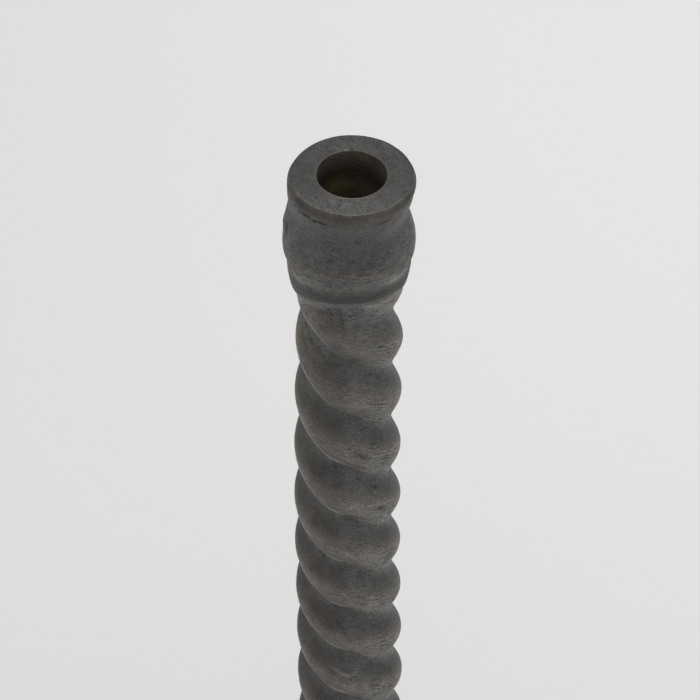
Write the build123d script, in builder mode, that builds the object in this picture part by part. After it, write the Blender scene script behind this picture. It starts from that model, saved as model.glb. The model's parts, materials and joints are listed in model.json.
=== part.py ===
"""Spiral candle holder: a tall two-strand twisted column between a candle head and a round foot.

Millimetres, +Z up, origin on the resting plane at the centre of the felt pad.
The photographed side faces -Y. Depths on the head are measured down from its flat rim.
"""

import os
from math import sqrt

from build123d import *

# Candle and its socket
CANDLE_D = 22.0
CANDLE_CLEARANCE = 0.3
SOCKET_DEPTH = 24.0
SOCKET_EDGE_R = 0.8

# Head casting: lip, barrel, groove and bead, from the rim downwards
HEAD_HEIGHT = 43.4
LIP_R = 21.5
LIP_HEIGHT = 4.4
LIP_EDGE_R = 1.1
CREASE_R = 20.9
CREASE_HEIGHT = 0.8
NECK_R = 20.7
NECK_DEPTH = 10.5
BARREL_R = 22.5
BARREL_DEPTH = 26.0
BARREL_FOOT_R = 20.6
BARREL_FOOT_DEPTH = 32.5
GROOVE_R = 19.9
GROOVE_WIDTH = 1.0
BEAD_R = 20.5
BEAD_LAND = 1.2
HEAD_SEAT_R = 17.2

# Stem casting: two round strands twisted to the left, thicker towards the foot
STEM_LENGTH = 348.0
STRAND_LEAD = 51.5
STRAND_TOP_R = 14.85
STRAND_TOP_OFFSET = 3.6
STRAND_TOP_ROOT_R = 1.2
STRAND_FOOT_R = 17.5
STRAND_FOOT_OFFSET = 4.2
STRAND_FOOT_ROOT_R = 1.4
STRAND_TOP_ANGLE = 145.8
TOP_RUNOUT = 25.0
FOOT_RUNOUT = 9.0
RUNOUT_SPREAD = 0.8

# Foot casting: a flat round edge, a swept-up top and a collar under the stem
FOOT_R = 62.5
FOOT_HEIGHT = 28.0
FOOT_EDGE_HEIGHT = 9.0
FOOT_EDGE_TOP_R = 4.0
FOOT_EDGE_BOTTOM_R = 1.5
FOOT_SWEEP_RISE = 10.0
FOOT_SWEEP_RUN_SHARE = 0.55
FOOT_SWEEP_RISE_SHARE = 0.28
COLLAR_R = 26.0
COLLAR_LAND = 2.4
COLLAR_GROOVE = 1.0
COLLAR_SEAT_R = 20.4

# Spigots that centre the stem in the head and in the foot
SPIGOT_CLEARANCE = 0.1
SPIGOT_END_GAP = 0.4
SPIGOT_CHAMFER = 0.8
HEAD_SPIGOT_R = 9.0
HEAD_SPIGOT_HEIGHT = 5.0
FOOT_SPIGOT_R = 12.0
FOOT_SPIGOT_HEIGHT = 7.0

# Threaded stud that draws the head down on the stem
THREAD_CLEARANCE = 0.05
STUD_R = 4.0
STUD_LENGTH = 34.0
STUD_IN_HEAD = 9.0
STUD_CHAMFER = 0.9
STUD_END_GAP = 1.0

# Hexagon bolt, spring washer and plain washer under the foot
BOLT_R = 5.0
BOLT_REACH = 24.0
BOLT_HOLE_CLEARANCE = 0.5
BOLT_HEAD_FLATS = 16.0
BOLT_HEAD_HEIGHT = 6.4
BOLT_CHAMFER = 0.9
BOLT_END_GAP = 3.0
BOLT_POCKET_R = 14.0
BOLT_POCKET_DEPTH = 14.0
PLAIN_WASHER_R = 10.0
PLAIN_WASHER_BORE_R = 5.25
PLAIN_WASHER_T = 2.0
SPRING_WASHER_R = 9.05
SPRING_WASHER_BORE_R = 5.1
SPRING_WASHER_T = 2.2
SPRING_WASHER_GAP = 1.8

# Felt pad glued into a shallow recess under the foot
FELT_T = 2.0
FELT_R = 57.0
FELT_RECESS_CLEARANCE = 0.5
FELT_RECESS_DEPTH = 1.2

# Heights above the resting plane
FOOT_Z = FELT_T - FELT_RECESS_DEPTH
STEM_Z = FOOT_Z + FOOT_HEIGHT
HEAD_Z = STEM_Z + STEM_LENGTH
RIM_Z = HEAD_Z + HEAD_HEIGHT
POCKET_Z = FOOT_Z + BOLT_POCKET_DEPTH

# Sizes that follow from the fits
SOCKET_R = CANDLE_D / 2 + CANDLE_CLEARANCE
STUD_HOLE_R = STUD_R + THREAD_CLEARANCE
BOLT_THREAD_HOLE_R = BOLT_R + THREAD_CLEARANCE
HEAD_RECESS_DEPTH = HEAD_SPIGOT_HEIGHT + SPIGOT_END_GAP
FOOT_RECESS_DEPTH = FOOT_SPIGOT_HEIGHT + SPIGOT_END_GAP
STUD_TOP_Z = HEAD_Z + HEAD_RECESS_DEPTH + STUD_IN_HEAD
STUD_BOTTOM_Z = STUD_TOP_Z - STUD_LENGTH
SPIGOT_TOP_Z = HEAD_Z + HEAD_SPIGOT_HEIGHT
SPIGOT_BOTTOM_Z = STEM_Z - FOOT_SPIGOT_HEIGHT
PLAIN_WASHER_Z = POCKET_Z - PLAIN_WASHER_T
SPRING_WASHER_Z = PLAIN_WASHER_Z - SPRING_WASHER_T
BOLT_TOP_Z = SPIGOT_BOTTOM_Z + BOLT_REACH

# The twist, from the angle of a strand crest at the head back down to the foot
TWIST_ANGLE = 360.0 * STEM_LENGTH / STRAND_LEAD
STRAND_FOOT_ANGLE = STRAND_TOP_ANGLE + TWIST_ANGLE
STRAND_CREST_R = max(STRAND_TOP_R + STRAND_TOP_OFFSET, STRAND_FOOT_R + STRAND_FOOT_OFFSET)


def upward(z):
    """A location on the axis at height z whose holes are drilled upwards."""
    return Location((0, 0, z), (180, 0, 0))


def strand_section(z, angle, strand_r, offset, root_r):
    """Two overlapping round strands, joined by small arcs at the roots, drawn at height z."""
    reach = strand_r + root_r
    root_y = sqrt(reach**2 - offset**2)
    join_x = offset * root_r / reach
    join_y = root_y * strand_r / reach
    crest = strand_r + offset
    valley = root_y - root_r
    with BuildSketch(Plane.XY.offset(z).rotated((0, 0, angle))) as section:
        with BuildLine():
            ThreePointArc((join_x, -join_y), (crest, 0), (join_x, join_y))
            ThreePointArc((join_x, join_y), (0, valley), (-join_x, join_y))
            ThreePointArc((-join_x, join_y), (-crest, 0), (-join_x, -join_y))
            ThreePointArc((-join_x, -join_y), (0, -valley), (join_x, -join_y))
        make_face()
    return section.sketch


# Candle head: a turned outline with the candle socket above and the stem's seat below
with BuildPart() as candle_head:
    with BuildSketch(Plane.XZ):
        with BuildLine():
            seat = Line((0, HEAD_Z), (HEAD_SEAT_R, HEAD_Z))
            bead_top = RIM_Z - BARREL_FOOT_DEPTH - GROOVE_WIDTH
            bead_side = Line((BEAD_R, bead_top), (BEAD_R, bead_top - BEAD_LAND))
            TangentArc(bead_side @ 1, seat @ 1, tangent=bead_side % 1)
            groove_bottom = (GROOVE_R, bead_top + GROOVE_WIDTH / 2)
            Line(bead_side @ 0, groove_bottom)
            barrel_foot = (BARREL_FOOT_R, RIM_Z - BARREL_FOOT_DEPTH)
            Line(groove_bottom, barrel_foot)
            neck = (NECK_R, RIM_Z - NECK_DEPTH)
            belly = (BARREL_R, RIM_Z - BARREL_DEPTH)
            barrel = Spline(neck, belly, tangents=((0, -1), (0, -1)))
            TangentArc(belly, barrel_foot, tangent=barrel % 1)
            crease = (CREASE_R, RIM_Z - LIP_HEIGHT - CREASE_HEIGHT)
            Polyline(neck, crease, (LIP_R, RIM_Z - LIP_HEIGHT), (LIP_R, RIM_Z), (0, RIM_Z), (0, HEAD_Z))
        make_face()
    revolve(axis=Axis.Z)
    with Locations((0, 0, RIM_Z)):
        Hole(SOCKET_R, SOCKET_DEPTH)
    with Locations(upward(HEAD_Z)):
        CounterBoreHole(
            STUD_HOLE_R,
            HEAD_SPIGOT_R + SPIGOT_CLEARANCE,
            HEAD_RECESS_DEPTH,
            HEAD_RECESS_DEPTH + STUD_IN_HEAD + STUD_END_GAP,
        )
    rim_edges = candle_head.edges().group_by(Axis.Z)[-1].sort_by(SortBy.RADIUS)
    fillet(rim_edges[0], SOCKET_EDGE_R)
    rim_edges = candle_head.edges().group_by(Axis.Z)[-1].sort_by(SortBy.RADIUS)
    fillet(rim_edges[-1], LIP_EDGE_R)

# Spiral stem: both end sections swept along the axis, turned by a left-hand helix
foot_section = strand_section(
    STEM_Z, STRAND_FOOT_ANGLE, STRAND_FOOT_R, STRAND_FOOT_OFFSET, STRAND_FOOT_ROOT_R
)
top_section = strand_section(
    HEAD_Z, STRAND_TOP_ANGLE, STRAND_TOP_R, STRAND_TOP_OFFSET, STRAND_TOP_ROOT_R
)
with BuildPart() as spiral_stem:
    with BuildLine() as stem_axis:
        Line((0, 0, STEM_Z), (0, 0, HEAD_Z))
    with BuildLine(mode=Mode.PRIVATE) as strand_guide:
        Helix(STRAND_LEAD, STEM_LENGTH, STRAND_FOOT_R, center=(0, 0, STEM_Z), lefthand=True)
    sweep(
        sections=[foot_section, top_section],
        path=stem_axis.line,
        binormal=strand_guide.edge(),
        multisection=True,
    )
    # The strands run out into the seats at both ends
    with BuildSketch(Plane.XZ):
        with BuildLine():
            runout_r = STRAND_CREST_R + RUNOUT_SPREAD
            foot_end = Line((0, STEM_Z), (COLLAR_SEAT_R, STEM_Z))
            head_end = Line((0, HEAD_Z), (HEAD_SEAT_R, HEAD_Z))
            side = Line((runout_r, STEM_Z + FOOT_RUNOUT), (runout_r, HEAD_Z - TOP_RUNOUT))
            Line(foot_end @ 1, side @ 0)
            Line(side @ 1, head_end @ 1)
            Line(foot_end @ 0, head_end @ 0)
        make_face()
    revolve(axis=Axis.Z, mode=Mode.INTERSECT)
    with BuildSketch(Plane.XY.offset(HEAD_Z)):
        Circle(HEAD_SPIGOT_R)
    extrude(amount=HEAD_SPIGOT_HEIGHT)
    chamfer(spiral_stem.edges().group_by(Axis.Z)[-1], SPIGOT_CHAMFER)
    with BuildSketch(Plane.XY.offset(STEM_Z)):
        Circle(FOOT_SPIGOT_R)
    extrude(amount=-FOOT_SPIGOT_HEIGHT)
    chamfer(spiral_stem.edges().group_by(Axis.Z)[0], SPIGOT_CHAMFER)
    with Locations((0, 0, SPIGOT_TOP_Z)):
        Hole(STUD_HOLE_R, SPIGOT_TOP_Z - STUD_BOTTOM_Z + STUD_END_GAP)
    with Locations(upward(SPIGOT_BOTTOM_Z)):
        Hole(BOLT_THREAD_HOLE_R, BOLT_REACH + BOLT_END_GAP)

# Foot: a turned outline with the stem's recess above, the bolt pocket and felt recess below
with BuildPart() as foot:
    with BuildSketch(Plane.XZ):
        with BuildLine():
            edge_top_z = FOOT_Z + FOOT_EDGE_HEIGHT
            sweep_top_z = edge_top_z + FOOT_SWEEP_RISE
            sweep_run = FOOT_R - COLLAR_R
            edge_side = Line((FOOT_R, FOOT_Z), (FOOT_R, edge_top_z))
            sweep_middle = (
                FOOT_R - sweep_run * FOOT_SWEEP_RUN_SHARE,
                edge_top_z + FOOT_SWEEP_RISE * FOOT_SWEEP_RISE_SHARE,
            )
            ThreePointArc(edge_side @ 1, sweep_middle, (COLLAR_R, sweep_top_z))
            groove = (COLLAR_R - COLLAR_GROOVE, sweep_top_z + COLLAR_GROOVE / 2)
            collar_side = Line(
                (COLLAR_R, sweep_top_z + COLLAR_GROOVE),
                (COLLAR_R, sweep_top_z + COLLAR_GROOVE + COLLAR_LAND),
            )
            Polyline((COLLAR_R, sweep_top_z), groove, collar_side @ 0)
            TangentArc(collar_side @ 1, (COLLAR_SEAT_R, STEM_Z), tangent=collar_side % 1)
            Polyline((COLLAR_SEAT_R, STEM_Z), (0, STEM_Z), (0, FOOT_Z), edge_side @ 0)
        make_face()
    revolve(axis=Axis.Z)
    outer_edges = foot.edges().filter_by(lambda edge: edge.is_closed).sort_by(SortBy.RADIUS)[-2:]
    fillet(outer_edges.sort_by(Axis.Z)[-1], FOOT_EDGE_TOP_R)
    fillet(foot.edges().group_by(Axis.Z)[0], FOOT_EDGE_BOTTOM_R)
    with Locations((0, 0, STEM_Z)):
        CounterBoreHole(
            BOLT_R + BOLT_HOLE_CLEARANCE, FOOT_SPIGOT_R + SPIGOT_CLEARANCE, FOOT_RECESS_DEPTH
        )
    with BuildSketch(Plane.XY.offset(FOOT_Z)):
        Circle(BOLT_POCKET_R)
    extrude(amount=BOLT_POCKET_DEPTH, mode=Mode.SUBTRACT)
    with BuildSketch(Plane.XY.offset(FOOT_Z)):
        Circle(FELT_R + FELT_RECESS_CLEARANCE)
    extrude(amount=FELT_RECESS_DEPTH, mode=Mode.SUBTRACT)

# Threaded stud between the head and the stem
with BuildPart() as head_stud:
    with BuildSketch(Plane.XY.offset(STUD_BOTTOM_Z)):
        Circle(STUD_R)
    extrude(amount=STUD_LENGTH)
    chamfer(head_stud.edges().filter_by(GeomType.CIRCLE), STUD_CHAMFER)

# Hexagon bolt, head downwards, through the foot into the stem
with BuildPart() as foot_bolt:
    with BuildSketch(Plane.XY.offset(SPRING_WASHER_Z)):
        RegularPolygon(BOLT_HEAD_FLATS / 2, 6, major_radius=False)
    extrude(amount=-BOLT_HEAD_HEIGHT)
    chamfer(foot_bolt.edges().group_by(Axis.Z)[0], BOLT_CHAMFER)
    with BuildSketch(Plane.XY.offset(SPRING_WASHER_Z)):
        Circle(BOLT_R)
    extrude(amount=BOLT_TOP_Z - SPRING_WASHER_Z)
    chamfer(foot_bolt.edges().group_by(Axis.Z)[-1], BOLT_CHAMFER)

# Split spring washer, pressed flat, on the bolt's head
with BuildPart() as spring_washer:
    with BuildSketch(Plane.XY.offset(SPRING_WASHER_Z)):
        Circle(SPRING_WASHER_R)
        Circle(SPRING_WASHER_BORE_R, mode=Mode.SUBTRACT)
        with Locations((SPRING_WASHER_R, 0)):
            Rectangle(SPRING_WASHER_R, SPRING_WASHER_GAP, mode=Mode.SUBTRACT)
    extrude(amount=SPRING_WASHER_T)

# Plain washer against the pocket's ceiling
with BuildPart() as plain_washer:
    with BuildSketch(Plane.XY.offset(PLAIN_WASHER_Z)):
        Circle(PLAIN_WASHER_R)
        Circle(PLAIN_WASHER_BORE_R, mode=Mode.SUBTRACT)
    extrude(amount=PLAIN_WASHER_T)

# Felt pad under the foot, which it holds just off the table
with BuildPart() as felt_pad:
    with BuildSketch(Plane.XY):
        Circle(FELT_R)
    extrude(amount=FELT_T)

PIECES = {
    "candle_head": candle_head,
    "head_stud": head_stud,
    "spiral_stem": spiral_stem,
    "foot": foot,
    "plain_washer": plain_washer,
    "spring_washer": spring_washer,
    "foot_bolt": foot_bolt,
    "felt_pad": felt_pad,
}

os.makedirs("parts", exist_ok=True)
for name, piece in PIECES.items():
    piece.part.label = name
    export_step(piece.part, f"parts/{name}.step")
print("rim height", round(RIM_Z, 1), "mm")
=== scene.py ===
"""Dresses the spiral candle holder: aged castings, felt, fasteners and the studio stage.

Metres, +Z up, the photographed side towards -Y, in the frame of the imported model.
"""

import json
from functools import partialmethod, wraps
from math import asin, cos, exp, hypot, pi, radians, sin

import bpy
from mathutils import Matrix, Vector, noise


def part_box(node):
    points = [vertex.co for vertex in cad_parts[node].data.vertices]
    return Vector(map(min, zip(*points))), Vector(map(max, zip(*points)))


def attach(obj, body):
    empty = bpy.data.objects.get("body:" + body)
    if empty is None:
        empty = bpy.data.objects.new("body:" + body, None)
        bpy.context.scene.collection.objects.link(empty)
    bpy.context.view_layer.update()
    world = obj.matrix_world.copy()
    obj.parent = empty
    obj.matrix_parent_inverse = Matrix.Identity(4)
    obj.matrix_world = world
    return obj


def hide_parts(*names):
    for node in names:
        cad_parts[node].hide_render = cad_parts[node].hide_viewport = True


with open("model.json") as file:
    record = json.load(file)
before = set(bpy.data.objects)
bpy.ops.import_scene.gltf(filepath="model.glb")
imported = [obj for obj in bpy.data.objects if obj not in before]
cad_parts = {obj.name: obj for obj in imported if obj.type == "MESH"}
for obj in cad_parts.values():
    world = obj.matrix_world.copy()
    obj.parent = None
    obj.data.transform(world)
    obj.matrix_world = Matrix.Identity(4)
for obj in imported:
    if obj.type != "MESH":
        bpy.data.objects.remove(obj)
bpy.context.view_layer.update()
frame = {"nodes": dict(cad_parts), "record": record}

bl_info = {
    "name": "Spiral Candle Holder",
    "version": (1, 0, 0),
    "blender": (4, 5, 0),
    "location": "3D View > Sidebar > Candle Holder",
    "description": "Dresses a twisted candlestick with aged cast metal, felt and a plain stage",
    "category": "Object",
}

MM = 0.001
HEAD_LOW, HEAD_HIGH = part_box("candle_head")
FOOT_LOW, FOOT_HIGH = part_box("foot")
FELT_LOW, FELT_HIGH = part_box("felt_pad")
RIM_Z = HEAD_HIGH.z
SEAT_Z = HEAD_LOW.z
COLLAR_Z = FOOT_HIGH.z
MOUNTS = {mount["name"]: mount for mount in frame["record"]["mounts"]}
SOCKET_R = MOUNTS["candle_socket"]["dims"]["r_mm"] * MM


def length(name, text, millimetres):
    """A size that a user can change; the scene keeps it in metres."""
    return bpy.props.FloatProperty(
        name=name, description=text, default=millimetres * MM, unit="LENGTH", precision=5
    )


def share(name, text, value):
    """A plain number that a user can change."""
    return bpy.props.FloatProperty(name=name, description=text, default=value, precision=4)


def tint(name, text, colour):
    """A linear colour that a user can change."""
    return bpy.props.FloatVectorProperty(
        name=name, description=text, default=colour, subtype="COLOR", size=3, min=0.0, max=1.0
    )


def turn(name, text, degrees):
    """An angle that a user can change."""
    return bpy.props.FloatProperty(
        name=name, description=text, default=radians(degrees), subtype="ANGLE"
    )


class HeadSizes(bpy.types.PropertyGroup):
    """Sizes of the candle head; depths run down from the rim."""

    socket_depth: length("Socket depth", "Depth of the candle hole", 24.0)
    socket_flare: length("Socket flare", "How much wider the hole's worn mouth is", 0.45)
    rim_radius: length("Rim radius", "Radius of the flat rim", 20.4)
    lip_radius: length("Lip radius", "Radius of the lip's side", 21.4)
    lip_height: length("Lip height", "Depth of the lip's lower edge", 4.4)
    crease_depth: length("Crease depth", "Depth of the crease under the lip", 5.0)
    crease_cut: length("Crease cut", "How far the crease is cut in", 0.9)
    neck_radius: length("Neck radius", "Narrowest radius above the barrel", 20.1)
    neck_depth: length("Neck depth", "Depth of the neck", 13.0)
    belly_radius: length("Belly radius", "Widest radius of the barrel", 22.6)
    belly_depth: length("Belly depth", "Depth of the barrel's belly", 26.5)
    barrel_foot_radius: length("Barrel foot radius", "Radius where the barrel turns in", 22.0)
    barrel_foot_depth: length("Barrel foot depth", "Depth where the barrel turns in", 31.5)
    groove_radius: length("Groove radius", "Radius of the groove over the bead", 20.5)
    groove_depth: length("Groove depth", "Depth of the groove over the bead", 33.1)
    bead_radius: length("Bead radius", "Radius of the bead's side", 21.2)
    bead_depth: length("Bead depth", "Depth of the bead's fullest part", 35.4)
    bead_low_radius: length("Bead lower radius", "Radius where the bead turns under", 20.3)
    bead_low_depth: length("Bead lower depth", "Depth where the bead turns under", 40.8)
    seat_radius: length("Seat radius", "Radius where the head meets the stem", 18.2)
    skirt_left: length("Left skirt", "How far the bead hangs down on the left", 1.5)
    skirt_ends: length("Skirt ends", "How much further it hangs at both ends", 3.0)
    front_lift: length("Front lift", "How much higher the bead sits at the front", 2.4)
    left_tilt: length("Left tilt", "How much lower the barrel's foot sits on the left", 1.1)
    neck_swell: length("Neck swell", "How much fuller the neck is on the right", 0.5)
    fold_cut: length("Fold cut", "Depth of the flaw on the barrel's left", 1.0)
    fold_flap: length("Fold flap", "Height of the raised edge beside that flaw", 0.5)
    mouth_wear: length("Mouth wear", "How far the hole's far edge is worn back", 0.75)
    mouth_nick: length("Mouth nick", "Depth of the nick in the hole's far edge", 0.7)
    chip_cut: length("Chip cut", "Depth of the chips in the rim", 0.3)
    lean: length("Lean", "How far the rim sits to the right of the axis", 0.95)
    dent: length("Dents", "Depth of the casting's unevenness", 0.25)


class StemSizes(bpy.types.PropertyGroup):
    """Sizes of the twisted stem."""

    lead: length("Lead", "Height of one full turn of a strand", 51.67)
    top_strand: length("Top strand", "Radius of a strand at the head", 14.76)
    top_offset: length("Top offset", "Distance of a strand's centre from the axis at the head", 3.7)
    foot_strand: length("Foot strand", "Radius of a strand at the foot", 17.48)
    foot_offset: length("Foot offset", "Distance of a strand's centre from the axis at the foot", 4.22)
    top_angle: turn("Top angle", "Direction of a strand's crest at the head, from +X", 146.0)
    wander: turn("Wander", "How far the strands stray from an even twist", 7.2)
    wander_wave: length("Wander wave", "Length of one stray to both sides", 162.0)
    wander_start: length("Wander start", "Where above the head's seat the stray begins", 8.3)
    parting: length("Parting", "How much further the strands part at the front and back", 2.6)
    parting_angle: turn("Parting angle", "Direction where the strands part furthest, from +X", 282.0)
    root: share("Root", "Rounding of the grooves, as a share of the strands' offset", 0.19)
    top_seat: length("Top seat", "Radius where the strands run out under the head", 17.5)
    foot_seat: length("Foot seat", "Radius where the strands run out over the foot", 20.4)
    top_spread: share("Top spread", "Growth of the run-out per length under the head", 0.21)
    foot_spread: share("Foot spread", "Growth of the run-out per length over the foot", 0.24)
    lean: length("Lean", "How far the column stands left of the axis", 0.1)
    bow: length("Bow", "How far the column bends sideways", 0.59)
    bow_wave: length("Bow wave", "Length of one bend to both sides", 285.0)
    bow_start: length("Bow start", "Depth under the head's seat where the bend begins", 36.4)
    dent: length("Dents", "Depth of the casting's unevenness", 0.35)
    ripple: length("Ripples", "Depth of the creases on the near right", 0.16)
    seed: share("Seed", "Start of the stem's own patterns", 11.0)


class FootSizes(bpy.types.PropertyGroup):
    """Sizes of the round foot."""

    edge_height: length("Edge height", "Height of the outer edge", 9.0)
    edge_top: length("Edge top rounding", "Rounding of the outer edge above", 4.0)
    edge_bottom: length("Edge bottom rounding", "Rounding of the outer edge below", 1.5)
    sweep_rise: length("Sweep rise", "Rise of the swept-up top", 10.0)
    collar_radius: length("Collar radius", "Radius of the collar's side", 26.0)
    collar_groove: length("Collar groove", "Depth of the groove under the collar", 1.0)
    collar_land: length("Collar land", "Height of the collar's straight side", 2.4)
    seat_radius: length("Seat radius", "Radius where the foot meets the stem", 20.4)
    dent: length("Dents", "Depth of the casting's unevenness", 0.22)


class FinishColours(bpy.types.PropertyGroup):
    """Colours of the finishes, in linear light."""

    patina_grey: tint("Grey patina", "Main tone of the patina", (0.1, 0.099, 0.0935))
    patina_brown: tint("Brown patina", "Rubbed brown of the crests", (0.108, 0.0965, 0.083))
    # Bare metal: worn edges, and the painted highlights along the strands' left edges, at the head's
    # groove and under the head
    bare_metal: tint("Bare metal", "Worn edges", (0.46, 0.445, 0.415))
    socket_olive: tint("Socket olive", "Stain deep on the socket's left", (0.086, 0.076, 0.031))
    socket_brown: tint("Socket brown", "Stain in the socket and on the lip", (0.08, 0.066, 0.047))
    felt_black: tint("Felt", "Wool felt", (0.018, 0.018, 0.019))
    zinc: tint("Zinc", "Plated fasteners", (0.55, 0.55, 0.53))
    floor: tint("Floor", "Pale floor", (0.91, 0.91, 0.91))


class StageSizes(bpy.types.PropertyGroup):
    """Camera and floor."""

    camera_side: length("Camera side", "Camera to the right of the axis", 0.33)
    camera_back: length("Camera back", "Camera in front of the axis", 709.4)
    camera_rise: length("Camera rise", "Camera above the rim", 601.2)
    camera_pitch: turn("Camera pitch", "Angle of the view below the horizon", 43.86)
    lens: share("Lens", "Focal length on a 36 mm sensor, in millimetres", 144.0)
    floor_width: length("Floor width", "Width of the pale floor", 12000.0)


class Wire:
    """A number in a node tree; arithmetic on it lays Math nodes."""

    def __init__(self, tree, socket):
        self.tree = tree
        self.socket = socket

    def lay(self, operation, *terms):
        """The result of a Math node fed with this number and more terms."""
        node = self.tree.nodes.new("ShaderNodeMath")
        node.operation = operation
        for socket, term in zip(node.inputs, (self, *terms)):
            feed(self.tree, socket, term)
        return Wire(self.tree, node.outputs[0])

    __add__ = __radd__ = partialmethod(lay, "ADD")
    __mul__ = __rmul__ = partialmethod(lay, "MULTIPLY")
    __sub__ = partialmethod(lay, "SUBTRACT")
    __truediv__ = partialmethod(lay, "DIVIDE")
    at_least = partialmethod(lay, "MAXIMUM")
    at_most = partialmethod(lay, "MINIMUM")
    soft_min = partialmethod(lay, "SMOOTH_MIN")
    power = partialmethod(lay, "POWER")
    root = partialmethod(lay, "SQRT")
    sine = partialmethod(lay, "SINE")
    cosine = partialmethod(lay, "COSINE")
    absolute = partialmethod(lay, "ABSOLUTE")

    def __neg__(self):
        return self * -1.0

    def __rsub__(self, other):
        return -self + other

    def clamped(self):
        return self.at_least(0.0).at_most(1.0)

    def towards(self, direction, edge, core):
        """1 within the cosine core of a direction in degrees, 0 beyond the cosine edge."""
        return (self - radians(direction)).cosine().between(edge, core)

    def between(self, low, high):
        """0 below low, 1 above high, smooth between."""
        node = self.tree.nodes.new("ShaderNodeMapRange")
        node.interpolation_type = "SMOOTHSTEP"
        feed(self.tree, node.inputs["Value"], self)
        feed(self.tree, node.inputs["From Min"], low)
        feed(self.tree, node.inputs["From Max"], high)
        return Wire(self.tree, node.outputs["Result"])

    def below(self, low, high):
        """1 below low, 0 above high, smooth between."""
        return 1.0 - self.between(low, high)


def feed(tree, socket, value):
    """Sets a socket to a value, or links it to a wire."""
    if isinstance(value, Wire):
        tree.links.new(value.socket, socket)
    elif isinstance(value, bpy.types.NodeSocket):
        tree.links.new(value, socket)
    else:
        socket.default_value = value


def put(tree, kind, settings=(), inputs=()):
    """Adds a node with its settings and its inputs by name."""
    node = tree.nodes.new(kind)
    for name, value in dict(settings).items():
        setattr(node, name, value)
    for name, value in dict(inputs).items():
        feed(tree, node.inputs[name], value)
    return node


def cloud(tree, vector, size, detail=3.0, seed=0.0, roughness=0.5, warp=0.0):
    """Seeded noise from 0 to 1 whose lumps are about size metres across."""
    inputs = {"Vector": vector, "W": seed, "Scale": 1.0 / size, "Detail": detail}
    inputs.update({"Roughness": roughness, "Distortion": warp})
    node = put(tree, "ShaderNodeTexNoise", {"noise_dimensions": "4D"}, inputs)
    return Wire(tree, node.outputs[0])


def xyz(tree, x, y, z):
    """A vector from three numbers."""
    node = put(tree, "ShaderNodeCombineXYZ", (), {"X": x, "Y": y, "Z": z})
    return node.outputs[0]


def parts_of(tree, vector):
    """The three numbers of a vector."""
    node = put(tree, "ShaderNodeSeparateXYZ", (), {"Vector": vector})
    return [Wire(tree, output) for output in node.outputs]


def mix_colour(tree, share_of_b, a, b):
    """Colour a turning into colour b."""
    node = put(tree, "ShaderNodeMix", {"data_type": "RGBA"})
    for index, value in ((0, share_of_b), (6, a), (7, b)):
        if isinstance(value, tuple):
            value = (*value, 1.0)
        feed(tree, node.inputs[index], value)
    return node.outputs[2]


def scaled(tree, colour, factor):
    """A colour made lighter or darker."""
    inputs = {"Vector": colour, "Scale": factor}
    return put(tree, "ShaderNodeVectorMath", {"operation": "SCALE"}, inputs).outputs[0]


def new_material(name):
    """An empty node material and its tree."""
    material = bpy.data.materials.new(name)
    material.use_nodes = True
    material.node_tree.nodes.clear()
    return material, material.node_tree


def finish_material(tree, **inputs):
    """Puts a Principled shader at the end of a material's tree."""
    shader = put(
        tree, "ShaderNodeBsdfPrincipled", (), {k.replace("_", " "): v for k, v in inputs.items()}
    )
    output = tree.nodes.new("ShaderNodeOutputMaterial")
    tree.links.new(shader.outputs[0], output.inputs["Surface"])


def mark(tree, name):
    """A number painted on the mesh."""
    node = put(tree, "ShaderNodeAttribute", {"attribute_name": name})
    return Wire(tree, node.outputs["Fac"])


def bump(tree, height, depth, normal=None):
    """A normal roughened by a pattern that rises depth metres from 0 to 1."""
    node = put(tree, "ShaderNodeBump", (), {"Height": height, "Distance": depth, "Strength": 1.0})
    if normal is not None:
        tree.links.new(normal, node.inputs["Normal"])
    return node.outputs[0]


# Marks on the front of the column, in millimetres by side and height: the ends of each pin hole,
# and the ends and the strength of each stretch of a scratch.
PIN_HOLES = (((9.2, 283.4), (9.2, 283.5)), ((-9.2, 246.2), (-9.2, 246.3)))
SCRATCHES = (
    ((-6.0, 187.2), (-2.6, 184.8), 0.36),
    ((-2.6, 184.8), (0.2, 183.6), 0.55),
    ((0.2, 183.6), (2.4, 184.2), 0.26),
)
# How many creases lie across a strand, as an angle over half its width
CREASE_RATE = 46.0
# Marks painted on the meshes: the first holds painted light as well as rubbed patina, the second painted
# shade as well as dark patina, and the fourth painted highlights as well as worn bare metal
METAL_MARKS = ("raised", "sunk", "tanned", "worn", "sooty", "brushed", "filed", "creased", "ledge")


def away_from(x, y, z, start, end):
    """Distance from a short straight line on the front, in metres."""
    run, climb = ((b - a) * MM for a, b in zip(start, end))
    across = x - start[0] * MM
    up = z - start[1] * MM
    along = ((across * run + up * climb) / (run * run + climb * climb)).clamped()
    across = across - along * run
    up = up - along * climb
    behind = y.between(-6 * MM, -5 * MM)
    return (across * across + up * up).root() + behind


def socket_stain(tree, colours, x, deep, mottle):
    """The stain inside the candle hole, brown with olive on the left, with its painted light and shade.
    """
    # Painted shade from 1.5 to 8 mm down, painted light deeper down with a painted light patch left of
    # the middle, and painted shade on the hole's left wall
    light = 0.95 - deep.between(1.5 * MM, 8 * MM) * 0.5 + deep.between(9 * MM, 15 * MM)
    painted_light_patch = (x + 4 * MM).absolute().below(1 * MM, 7 * MM)
    painted_light_patch = painted_light_patch * deep.between(7 * MM, 10 * MM) * deep.below(11 * MM, 18 * MM)
    light = light * (1.0 + painted_light_patch * 0.9) * (0.75 + x.between(-11 * MM, -5 * MM) * 0.25)
    olive = ((mottle - 0.5) * (8 * MM) - x).between(-2 * MM, 3 * MM) * deep.between(5 * MM, 10 * MM)
    stain = mix_colour(tree, olive, tuple(colours.socket_brown), tuple(colours.socket_olive))
    return stain, light


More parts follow.
